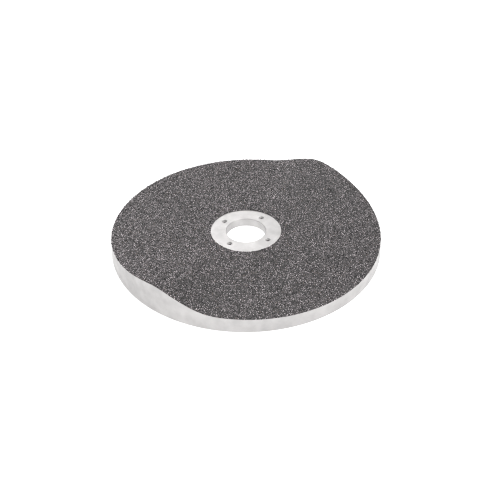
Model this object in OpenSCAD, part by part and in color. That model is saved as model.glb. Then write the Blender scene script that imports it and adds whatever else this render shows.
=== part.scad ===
// Carving disc for an angle grinder: an aluminium body with a flat base, whose working
// face rises in steep-backed waves from a flat clamping ring to the rim. A bond coat
// covers the wavy face and holds one layer of crushed abrasive grains.
// Millimetres, +Z up. The origin is on the bore's axis, in the plane of the flat base.

/* [Disc body] */
// Diameter at the flat base
disc_d = 150; // [115:1:180]
// Thickness at the hub, where the working face starts
face_h = 6.3; // [5:0.1:8]
// Draft of the side wall, in degrees
wall_draft = 3.5; // [0:0.5:5]
// Chamfer round the edge of the flat base
base_chamfer = 0.2; // [0.1:0.1:0.8]

/* [Waves] */
// Rise of the low fields between the waves, from the hub to the rim
rim_rise = 0.85; // [0:0.05:2]
// Number of waves round the disc
wave_count = 2; // [1:1:4]
// Height above the low fields at which a ramp and a fall would meet at the rim
wave_h = 9.5; // [4:0.5:12]
// Part of one wave's arc that its ramp takes
ramp_share = 0.54; // [0.4:0.01:0.7]
// Part of one wave's arc that the steep fall behind the crest takes
fall_share = 0.16; // [0.12:0.01:0.25]
// Power by which the ramp curves up towards the crest
ramp_power = 2.9; // [1.5:0.1:3.5]
// Part of the crest's height that a long, shallow tail carries on behind the fall
tail_share = 0.24; // [0:0.01:0.3]
// Rounding of the crest, as a part of its height
crest_round = 0.25; // [0.05:0.05:0.3]
// Power by which the waves grow from the clamping ring to the rim
rise_power = 1.1; // [1:0.1:2]
// Turn of the waves against the first pin hole, in degrees
wave_turn = -3.5; // [-45:0.5:45]

/* [Hub] */
// Diameter of the bore
bore_d = 22.23; // [20:0.01:25.4]
// Chamfer at both ends of the bore
bore_chamfer = 0.15; // [0.1:0.05:0.6]
// Diameter of the bare clamping ring
hub_d = 39.5; // [38:0.5:50]
// Depth to which the clamping ring is turned below the working face
ring_cut = 0.1; // [0.1:0.05:0.5]
// Number of pin holes in the clamping ring
hole_count = 4; // [2:1:6]
// Diameter of a pin hole
hole_d = 1.2; // [1:0.1:4]
// Diameter of the circle through the pin holes' centres
hole_pcd = 30; // [30:0.5:32]
// Chamfer at both ends of a pin hole
hole_chamfer = 0.8; // [0.1:0.1:0.9]
// Diameter of the recess for the grinder's inner flange
recess_d = 46; // [42:1:60]
// Depth of the recess for the grinder's inner flange
recess_h = 1.4; // [0.5:0.1:2]
// Chamfer at the mouth of the flange recess
recess_chamfer = 0.2; // [0.1:0.1:0.4]

/* [Coating] */
// Thickness of the bond coat
bond_t = 0.15; // [0.15:0.05:0.5]
// Height of the grain layer above the bond coat
grit_t = 0.4; // [0.3:0.05:1]
// Bare margin between the coating and the side wall
coat_margin = 0.2; // [0.1:0.05:0.5]

/* [Hidden] */
$fn = 128;
// Steps of the wavy face round the disc and from the hub to the rim
turn_steps = 144;
ring_steps = 7;
// Height of the clamping ring, which the nut bears on
ring_h = face_h - ring_cut;
// The waves start just inside the clamping ring's edge, and their sheets run past the rim
wave_r0 = hub_d / 2 - 0.5;
wave_r1 = disc_d / 2;
overrun = 1;
wave_arc = 360 / wave_count;
ramp_arc = ramp_share * wave_arc;
fall_arc = fall_share * wave_arc;
tail_arc = wave_arc - ramp_arc;
coat_t = bond_t + grit_t;
envelope_h = face_h + rim_rise + wave_h + coat_t + overrun;
outer_points = ring_steps * turn_steps;
alu_col = [0.86, 0.86, 0.87];
bond_col = [0.22, 0.21, 0.21];
grit_col = [0.42, 0.40, 0.41];

// Smaller of two heights, rounded over a band k where they are nearly equal
function smooth_min(a, b, k) =
    let (t = max(k - abs(a - b), 0) / k)
    min(a, b) - k * t * t / 4;

// Height of the ramp that ends at the crest; b is the arc past the crest
function ramp_height(b) = pow(max(b + ramp_arc, 0) / ramp_arc, ramp_power);

// Height of the fall and its tail, which start at the crest
function fall_height(b) =
    let (steep = (1 + cos(180 * min(max(b / fall_arc, 0), 1))) / 2)
    let (tail = pow(1 - max(b, 0) / tail_arc, 2))
    (1 - tail_share) * steep + tail_share * tail;

// Arc past the nearest crest, from -ramp_arc to tail_arc
function past_crest(a) =
    let (b = (a - wave_turn + ramp_arc) / wave_arc)
    (b - floor(b)) * wave_arc - ramp_arc;

// Wave height at the rim, from 0 in the valley to nearly 1 on the crest
function wave(a) =
    let (b = past_crest(a))
    smooth_min(ramp_height(b), fall_height(b), crest_round);

// Height of the bare metal face at a radius and an angle
function face_z(r, a) =
    face_h + (rim_rise + wave_h * wave(a)) * pow((r - wave_r0) / (wave_r1 - wave_r0), rise_power);

function ring_r(j) = wave_r0 + (wave_r1 + overrun - wave_r0) * j / ring_steps;
function turn_a(i) = i * 360 / turn_steps;
function at(j, i) = j * turn_steps + i % turn_steps;

// Points of the wavy face lifted by a coat's thickness, ring by ring from the hub
function sheet(lift) = [
    for (j = [0:ring_steps])
        for (i = [0:turn_steps - 1])
            let (r = ring_r(j), a = turn_a(i))
            [r * cos(a), r * sin(a), face_z(r, a) + lift]
];

// Triangles of a sheet seen from above, and of the same sheet seen from below
function upper_faces() = [
    for (j = [0:ring_steps - 1])
        for (i = [0:turn_steps - 1])
            each [
                [at(j, i), at(j, i + 1), at(j + 1, i + 1)],
                [at(j, i), at(j + 1, i + 1), at(j + 1, i)]
            ]
];
function lower_faces(start) = [
    for (f = upper_faces()) [start + f[0], start + f[2], start + f[1]]
];

// Everything below the wavy face, down past the base and out past the rim
module below_waves() {
    start = outer_points + turn_steps;
    bottom = [for (i = [0:turn_steps - 1])
        [ring_r(ring_steps) * cos(turn_a(i)), ring_r(ring_steps) * sin(turn_a(i)), -overrun]];
    wall = [for (i = [0:turn_steps - 1])
        [at(ring_steps, i), at(ring_steps, i + 1), start + (i + 1) % turn_steps, start + i]];
    core_top = [for (i = [turn_steps - 1:-1:0]) i];
    core_bottom = [for (i = [0:turn_steps - 1]) start + i];
    polyhedron(
        points = concat(sheet(0), bottom),
        faces = concat(upper_faces(), wall, [core_top, core_bottom])
    );
}

// A coat between two lifts above the wavy face, as a ring that runs past hub and rim
module coat(low, high) {
    start = outer_points + turn_steps;
    outer_wall = [for (i = [0:turn_steps - 1])
        [at(ring_steps, i), at(ring_steps, i + 1),
         start + at(ring_steps, i + 1), start + at(ring_steps, i)]];
    inner_wall = [for (i = [0:turn_steps - 1])
        [at(0, i + 1), at(0, i), start + at(0, i), start + at(0, i + 1)]];
    difference() {
        intersection() {
            polyhedron(
                points = concat(sheet(high), sheet(low)),
                faces = concat(upper_faces(), lower_faces(start), outer_wall, inner_wall)
            );
            side_envelope(coat_margin);
        }
        cylinder(h = envelope_h, d = hub_d);
    }
}

// The disc's outer shape, less a margin: a chamfered base edge and a drafted side wall
module side_envelope(margin) {
    r = disc_d / 2 - margin;
    rotate_extrude()
        polygon([
            [0, 0],
            [r - base_chamfer, 0],
            [r, base_chamfer],
            [r - envelope_h * tan(wall_draft), envelope_h],
            [0, envelope_h]
        ]);
}

// Cutter for a round hole between two faces, with a 45 degree chamfer at each end
module hole_cut(r, z0, z1, chamfer) {
    flare = r + chamfer + overrun;
    rotate_extrude()
        polygon([
            [0, z0 - overrun],
            [flare, z0 - overrun],
            [r, z0 + chamfer],
            [r, z1 - chamfer],
            [flare, z1 + overrun],
            [0, z1 + overrun]
        ]);
}

// Cutter for the flange recess under the hub
module recess_cut() {
    r = recess_d / 2;
    rotate_extrude()
        polygon([
            [0, -overrun],
            [r + recess_chamfer + overrun, -overrun],
            [r, recess_chamfer],
            [r, recess_h],
            [0, recess_h]
        ]);
}

module disc_body() {
    color(alu_col)
        difference() {
            intersection() {
                side_envelope(0);
                below_waves();
            }
            recess_cut();
            translate([0, 0, ring_h])
                cylinder(h = ring_cut + overrun, d = hub_d);
            hole_cut(bore_d / 2, recess_h, ring_h, bore_chamfer);
            for (i = [0:hole_count - 1])
                rotate([0, 0, i * 360 / hole_count])
                    translate([hole_pcd / 2, 0, 0])
                        hole_cut(hole_d / 2, recess_h, ring_h, hole_chamfer);
        }
}

module bond_coat() {
    color(bond_col)
        coat(0, bond_t);
}

module abrasive_grit() {
    color(grit_col)
        coat(bond_t, coat_t);
}

disc_body();
bond_coat();
abrasive_grit();
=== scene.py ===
"""Looks of an angle grinder carving disc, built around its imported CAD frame.

The machined body and the bond coat are the CAD nodes with procedural materials. The abrasive
layer is made here as separate crushed grains, which sit in the bond coat and stand out of it.
"""

import math

import bmesh
import bpy
import numpy as np
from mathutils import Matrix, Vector
from mathutils.bvhtree import BVHTree


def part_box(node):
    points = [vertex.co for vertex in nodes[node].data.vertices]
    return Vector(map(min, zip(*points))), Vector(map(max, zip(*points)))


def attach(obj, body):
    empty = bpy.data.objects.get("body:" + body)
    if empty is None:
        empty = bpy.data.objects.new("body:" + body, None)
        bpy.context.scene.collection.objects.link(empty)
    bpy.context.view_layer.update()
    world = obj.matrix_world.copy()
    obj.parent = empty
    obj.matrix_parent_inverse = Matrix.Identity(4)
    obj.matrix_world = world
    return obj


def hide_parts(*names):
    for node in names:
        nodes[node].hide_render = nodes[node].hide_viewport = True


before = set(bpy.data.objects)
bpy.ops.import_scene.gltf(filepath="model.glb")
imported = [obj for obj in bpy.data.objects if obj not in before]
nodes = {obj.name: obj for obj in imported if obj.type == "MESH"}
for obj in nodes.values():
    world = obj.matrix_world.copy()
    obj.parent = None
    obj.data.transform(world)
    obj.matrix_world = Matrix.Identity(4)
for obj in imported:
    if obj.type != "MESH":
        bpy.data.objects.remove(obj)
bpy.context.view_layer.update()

MM = 0.001
SEED = 20
UP = Vector((0, 0, 1))

DISC_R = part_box("disc_body")[1].x
BOND_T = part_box("abrasive_grit")[0].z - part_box("bond_coat")[0].z

# ---------------------------------------------------------------- camera
VIEW_AZIMUTH = math.radians(-53.5)
VIEW_ELEVATION = math.radians(36.86)
VIEW_ROLL = math.radians(-0.58)
VIEW_DISTANCE = 5.5 * DISC_R
LENS_MM = 52.6
SHIFT = (0.0079, -0.0216)

RIGHT = Vector((math.cos(VIEW_AZIMUTH), math.sin(VIEW_AZIMUTH), 0))
BACK = Vector((-math.sin(VIEW_AZIMUTH), math.cos(VIEW_AZIMUTH), 0))


def in_view(right, back, up):
    """A point given along the camera's right, away from the camera, and up, in metres."""
    return RIGHT * right + BACK * back + UP * up


def make_camera():
    data = bpy.data.cameras.new("camera")
    data.lens = LENS_MM
    data.sensor_width = 36
    data.clip_start = 0.01
    data.shift_x, data.shift_y = SHIFT
    camera = bpy.data.objects.new("camera", data)
    bpy.context.scene.collection.objects.link(camera)
    flat = VIEW_DISTANCE * math.cos(VIEW_ELEVATION)
    camera.location = in_view(0, -flat, VIEW_DISTANCE * math.sin(VIEW_ELEVATION))
    turn = (-camera.location).to_track_quat("-Z", "Y").to_matrix()
    roll = turn.Rotation(VIEW_ROLL, 3, "Z")
    camera.rotation_euler = (turn @ roll).to_euler()
    bpy.context.scene.camera = camera


# ---------------------------------------------------------------- materials
def new_material(name):
    mat = bpy.data.materials.new(name)
    mat.use_nodes = True
    return mat, mat.node_tree, mat.node_tree.nodes["Principled BSDF"]


def add(tree, kind, **values):
    """Adds a shader node. A value is put on the input of that name, or on the node itself."""
    node = tree.nodes.new("ShaderNode" + kind)
    for key, value in values.items():
        name = key.replace("_", " ").title()
        if name in node.inputs:
            node.inputs[name].default_value = value
        else:
            setattr(node, key, value)
    return node


def maths(tree, operation, *values):
    """Adds a maths node on numbers and sockets, and returns its output."""
    node = tree.nodes.new("ShaderNodeMath")
    node.operation = operation
    for socket, value in zip(node.inputs, values):
        if isinstance(value, (int, float)):
            socket.default_value = value
        else:
            tree.links.new(value, socket)
    return node.outputs[0]


def ramp(tree, factor, low, high):
    """A colour that runs from low to high, each given as (factor, colour)."""
    node = tree.nodes.new("ShaderNodeValToRGB")
    tree.links.new(factor, node.inputs[0])
    for stop, (place, colour) in zip(node.color_ramp.elements, (low, high)):
        stop.position = place
        stop.color = (*colour, 1)
    return node.outputs["Color"]


def metal_material():
    """Turned aluminium: lathe lines round the axis, soft sectors of painted sheen in the colour,
    blotches of tone, specks.
    """
    mat, tree, shader = new_material("turned_aluminium")
    link = tree.links.new
    place = add(tree, "TexCoord").outputs["Object"]
    split = add(tree, "SeparateXYZ")
    link(place, split.inputs[0])
    x, y, z = split.outputs
    square = maths(tree, "ADD", maths(tree, "MULTIPLY", x, x), maths(tree, "MULTIPLY", y, y))
    radius = maths(tree, "SQRT", square)
    lathe = add(tree, "CombineXYZ")
    link(radius, lathe.inputs[0])
    link(z, lathe.inputs[1])
    lines = add(tree, "TexNoise", scale=2600, detail=4)
    link(lathe.outputs[0], lines.inputs["Vector"])
    # painted sheen: soft sectors running out from the axis put a turned face's highlights into the
    # colour
    sheen_place = add(tree, "CombineXYZ")
    link(maths(tree, "DIVIDE", x, radius), sheen_place.inputs[0])
    link(maths(tree, "DIVIDE", y, radius), sheen_place.inputs[1])
    link(maths(tree, "MULTIPLY", radius, 20.0), sheen_place.inputs[2])
    painted_sheen = add(tree, "TexNoise", noise_dimensions="4D", w=17.86, scale=0.8, detail=3)
    link(sheen_place.outputs[0], painted_sheen.inputs["Vector"])
    blotches = add(tree, "TexNoise", scale=160, detail=4)
    link(place, blotches.inputs["Vector"])
    specks = add(tree, "TexNoise", scale=900, detail=5)
    link(place, specks.inputs["Vector"])
    # the colour mixes the painted sheen sectors with blotches of tone
    sheen_tone = maths(tree, "MULTIPLY", painted_sheen.outputs["Fac"], 0.6)
    blotches_and_sheen = maths(tree, "MULTIPLY_ADD", blotches.outputs["Fac"], 0.4, sheen_tone)
    tone = ramp(tree, blotches_and_sheen, (0.38, (0.438, 0.428, 0.425)), (0.62, (0.612, 0.598, 0.593)))
    link(tone, shader.inputs["Base Color"])
    shader.inputs["Metallic"].default_value = 1
    shader.inputs["Anisotropic"].default_value = 0.1
    rough = maths(tree, "MULTIPLY_ADD", lines.outputs["Fac"], 0.16, 0.30)
    link(rough, shader.inputs["Roughness"])
    height = maths(tree, "MULTIPLY_ADD", specks.outputs["Fac"], 0.5, lines.outputs["Fac"])
    bump = add(tree, "Bump", strength=0.35, distance=0.02 * MM)
    link(height, bump.inputs["Height"])
    link(bump.outputs[0], shader.inputs["Normal"])
    tangent = add(tree, "Tangent", direction_type="RADIAL", axis="Z")
    link(tangent.outputs[0], shader.inputs["Tangent"])
    return mat


def bond_material():
    """Cured dark resin between the grains: uneven in tone and gloss."""
    mat, tree, shader = new_material("bond_resin")
    link = tree.links.new
    place = add(tree, "TexCoord").outputs["Object"]
    lumps = add(tree, "TexNoise", scale=1400, detail=4)
    link(place, lumps.inputs["Vector"])
    tone = ramp(tree, lumps.outputs["Fac"], (0.35, (0.018, 0.017, 0.018)), (0.7, (0.06, 0.056, 0.055)))
    link(tone, shader.inputs["Base Color"])
    rough = maths(tree, "MULTIPLY_ADD", lumps.outputs["Fac"], 0.4, 0.3)
    link(rough, shader.inputs["Roughness"])
    bump = add(tree, "Bump", strength=0.8, distance=0.12 * MM)
    link(lumps.outputs["Fac"], bump.inputs["Height"])
    link(bump.outputs[0], shader.inputs["Normal"])
    return mat


# name, colour, metallic, roughness, IOR, share of the grains
GRAIN_KINDS = [
    ("grain_black", (0.014, 0.012, 0.013), 0.0, 0.50, 1.40, 0.21),
    ("grain_graphite", (0.100, 0.087, 0.091), 0.0, 0.45, 1.40, 0.18),
    ("grain_grey", (0.310, 0.270, 0.282), 0.0, 0.45, 1.5, 0.23),
    ("grain_umber", (0.280, 0.225, 0.200), 0.0, 0.45, 1.5, 0.05),
    ("grain_pale", (0.760, 0.680, 0.710), 0.0, 0.40, 1.5, 0.21),
    ("grain_glint", (0.850, 0.780, 0.800), 1.0, 0.26, 1.5, 0.12),
]


def grain_materials():
    made = []
    for name, colour, metallic, roughness, ior, _ in GRAIN_KINDS:
        mat, _, shader = new_material(name)
        shader.inputs["Base Color"].default_value = (*colour, 1)
        shader.inputs["Metallic"].default_value = metallic
        shader.inputs["Roughness"].default_value = roughness
        shader.inputs["IOR"].default_value = ior
        made.append(mat)
    return made


# ---------------------------------------------------------------- abrasive grains
GRAIN_SHAPES = 28
# smallest and largest radius in mm, and tries
GRAIN_PASSES = [(0.34, 0.44, 60000), (0.26, 0.34, 90000), (0.18, 0.26, 120000)]
# the grains in a row along an edge: smallest and largest radius in mm, and pitch in radii
ROW_SIZE = (0.22, 0.48)
ROW_PITCH = (1.3, 1.9)
# a row's distance from the coat's edge, and the height of each of its bends, which add up to at
# most BEND_LIMIT heights, so that every grain's centre stays on the coat
HUB_ROW = (0.3 * MM, 0.07 * MM)
RIM_ROW = (0.2 * MM, 0.13 * MM)
BEND_LIMIT = 1.5
ROW_BENDS = 12
BENDS_A_TURN = (60, 260)
# least distance between two grains' centres, as a share of their radii added
SPACING = 0.82
ROW_SPACING = 0.6
# share of the bond's thickness that a grain sinks into
SUNK = (0.7, 1.0)
# a grain's height is pressed to this share, and its centre keeps this many radii off the rim
FLATTEN = 0.85
RIM_HOLD = 1.0
# the layer is made as this many pieces, like slices of a cake
SLICES = 8


def crushed_shape(rng):
    """Vertices and triangles of one angular grain of about unit radius, as a convex hull."""
    count = int(rng.integers(7, 10))
    points = rng.normal(size=(count, 3))
    points /= np.linalg.norm(points, axis=1)[:, None]
    points *= rng.uniform(0.8, 1.1, size=(count, 1))
    points *= np.array([1.0, rng.uniform(0.75, 0.95), rng.uniform(0.65, 0.9)])
    shape = bmesh.new()
    for point in points:
        shape.verts.new(point)
    hull = bmesh.ops.convex_hull(shape, input=shape.verts)
    inside = [v for v in hull["geom_interior"] if isinstance(v, bmesh.types.BMVert)]
    bmesh.ops.delete(shape, geom=inside, context="VERTS")
    bmesh.ops.triangulate(shape, faces=shape.faces)
    bmesh.ops.recalc_face_normals(shape, faces=shape.faces)
    shape.verts.index_update()
    vertices = np.array([v.co for v in shape.verts])
    faces = np.array([[v.index for v in f.verts] for f in shape.faces])
    shape.free()
    return vertices, faces


def random_turn(rng):
    """A rotation matrix drawn evenly from all turns, by way of a random quaternion."""
    q = rng.normal(size=4)
    w, x, y, z = q / np.linalg.norm(q)
    return np.array([
        [1 - 2 * (y * y + z * z), 2 * (x * y - z * w), 2 * (x * z + y * w)],
        [2 * (x * y + z * w), 1 - 2 * (x * x + z * z), 2 * (y * z - x * w)],
        [2 * (x * z - y * w), 2 * (y * z + x * w), 1 - 2 * (x * x + y * y)],
    ])


def edge_row(rng, row_r, wander):
    """Centres and radii of grains in a row of radius row_r(angle), with bends wander high."""
    row, turn = [], 0.0
    counts = rng.integers(*BENDS_A_TURN, ROW_BENDS)
    bends = [(int(count), rng.uniform(0, 2 * math.pi)) for count in counts]
    while turn < 2 * math.pi:
        size = rng.uniform(*ROW_SIZE) * MM
        bend = sum(math.sin(count * turn + phase) for count, phase in bends)
        reach = row_r(turn) + wander * max(-BEND_LIMIT, min(BEND_LIMIT, bend))
        row.append((reach * math.cos(turn), reach * math.sin(turn), size))
        turn += rng.uniform(*ROW_PITCH) * size / reach
    return row


def scatter(rng, r_in, r_out, rows):
    """Places grains on the ring from r_in to r_out: rows first, then the others, large to small.

    Returns a list of (x, y, radius, whether it is in a row).
    """
    cell = 2 * GRAIN_PASSES[0][1] * MM
    cells, placed = {}, []
    passes = [rows]
    for low, high, tries in GRAIN_PASSES:
        radii = rng.uniform(low, high, tries) * MM
        reach = np.sqrt(rng.uniform(r_in**2, r_out**2, tries))
        turn = rng.uniform(0, 2 * math.pi, tries)
        passes.append(zip(reach * np.cos(turn), reach * np.sin(turn), radii))
    for candidates in passes:
        in_row = candidates is rows
        apart = ROW_SPACING if in_row else SPACING
        for px, py, size in candidates:
            cx, cy = int(px // cell), int(py // cell)
            near = [g for i in (cx - 1, cx, cx + 1) for j in (cy - 1, cy, cy + 1)
                    for g in cells.get((i, j), ())]
            if all((px - x) ** 2 + (py - y) ** 2 > (apart * (size + s)) ** 2 for x, y, s in near):
                cells.setdefault((cx, cy), []).append((px, py, size))
                placed.append((px, py, size, in_row))
    return placed


def make_grains():
    rng = np.random.default_rng(SEED)
    shapes = [crushed_shape(rng) for _ in range(GRAIN_SHAPES)]
    materials = grain_materials()
    shares = np.array([kind[-1] for kind in GRAIN_KINDS])
    coat = nodes["bond_coat"]
    coat_tree = BVHTree.FromObject(coat, bpy.context.evaluated_depsgraph_get())
    hub_r = min(math.hypot(v.co.x, v.co.y) for v in coat.data.vertices)

    def coat_height(reach, turn):
        """Height of the coat's surface, or None past its rim."""
        reach = max(reach, hub_r + 0.02 * MM)
        above = Vector((reach * math.cos(turn), reach * math.sin(turn), DISC_R))
        hit = coat_tree.ray_cast(above, -UP)[0]
        return hit and hit.z

    def rim_r(turn):
        """Radius of the coat's rim, found by halving."""
        low, high = 0.9 * DISC_R, DISC_R
        for _ in range(14):
            middle = (low + high) / 2
            low, high = (low, middle) if coat_height(middle, turn) is None else (middle, high)
        return low

    rows = edge_row(rng, lambda turn: hub_r + HUB_ROW[0], HUB_ROW[1])
    rows += edge_row(rng, lambda turn: rim_r(turn) - RIM_ROW[0], RIM_ROW[1])
    slices = [{"points": [], "faces": [], "kinds": [], "total": 0} for _ in range(SLICES)]
    for px, py, size, in_row in scatter(rng, hub_r, DISC_R, rows):
        reach, turn = math.hypot(px, py), math.atan2(py, px) % (2 * math.pi)
        if not in_row and coat_height(reach + RIM_HOLD * size, turn) is None:
            continue
        height = coat_height(reach, turn)
        vertices, faces = shapes[int(rng.integers(GRAIN_SHAPES))]
        points = (vertices @ random_turn(rng).T) * size
        points[:, 2] *= FLATTEN
        sunk = rng.uniform(*SUNK) * BOND_T
        points[:, 2] += -points[:, 2].min() - sunk
        points += np.array([px, py, height])
        kind = int(rng.choice(len(shares), p=shares / shares.sum()))
        made = slices[int(turn / (2 * math.pi) * SLICES) % SLICES]
        made["points"].append(points)
        made["faces"].append(faces + made["total"])
        made["kinds"].append(np.full(len(faces), kind))
        made["total"] += len(points)
    for k, made in enumerate(slices):
        name = f"abrasive_grains_{k + 1}"
        piece = mesh_piece(name, np.concatenate(made["points"]), np.concatenate(made["faces"]))
        for mat in materials:
            piece.data.materials.append(mat)
        kinds = np.concatenate(made["kinds"]).astype(np.int32)
        piece.data.polygons.foreach_set("material_index", kinds)
        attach(piece, "root")
        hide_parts("abrasive_grit")


def mesh_piece(name, points, triangles):
    """A new object from arrays of points and triangles, in metres."""
    mesh = bpy.data.meshes.new(name)
    mesh.vertices.add(len(points))
    mesh.vertices.foreach_set("co", points.astype(np.float32).ravel())
    mesh.loops.add(3 * len(triangles))
    mesh.loops.foreach_set("vertex_index", triangles.astype(np.int32).ravel())
    mesh.polygons.add(len(triangles))
    mesh.polygons.foreach_set("loop_start", np.arange(0, 3 * len(triangles), 3, dtype=np.int32))
    mesh.update(calc_edges=True)
    piece = bpy.data.objects.new(name, mesh)
    bpy.context.scene.collection.objects.link(piece)
    return piece


# ---------------------------------------------------------------- studio
def area_light(name, place, aim, size, power):
    data = bpy.data.lights.new(name, "AREA")
    data.shape = "RECTANGLE"
    data.size, data.size_y = size
    data.energy = power
    lamp = bpy.data.objects.new(name, data)
    lamp.location = place
    lamp.rotation_euler = (aim - place).to_track_quat("-Z", "Y").to_euler()
    bpy.context.scene.collection.objects.link(lamp)


def make_studio():
    scene = bpy.context.scene
    scene.view_settings.view_transform = "Standard"
    scene.cycles.filter_width = 1.2
    scene.cycles.denoising_prefilter = "NONE"
    world = bpy.data.worlds.new("studio")
    world.use_nodes = True
    backdrop = world.node_tree.nodes["Background"]
    backdrop.inputs["Color"].default_value = (1, 1, 1, 1)
    backdrop.inputs["Strength"].default_value = 0.5
    scene.world = world
    centre = Vector((0, 0, 0.01))
    area_light("overhead", in_view(0.0, 0.35, 0.85), centre, (1.2, 0.8), 7.3)
    area_light("back", in_view(-0.35, 1.2, 0.6), centre, (0.7, 0.3), 2)
    area_light("back_left", in_view(-0.9, 0.9, 0.8), centre, (0.3, 0.3), 1.2)
    area_light("front_right", in_view(0.9, -0.5, 0.7), centre, (0.3, 0.4), 3)
    bpy.ops.mesh.primitive_plane_add(size=6, location=(0, 0, -0.1 * MM))
    floor = bpy.context.object
    floor.name = "studio_floor"
    mat, _, shader = new_material("studio_paper")
    shader.inputs["Base Color"].default_value = (0.33, 0.33, 0.33, 1)
    shader.inputs["Roughness"].default_value = 0.9
    shader.inputs["Emission Color"].default_value = (1, 1, 1, 1)
    shader.inputs["Emission Strength"].default_value = 0.93
    floor.data.materials.append(mat)


def paint(node, mat):
    nodes[node].material_slots[0].material = mat


make_camera()
paint("disc_body", metal_material())
paint("bond_coat", bond_material())
make_grains()
make_studio()
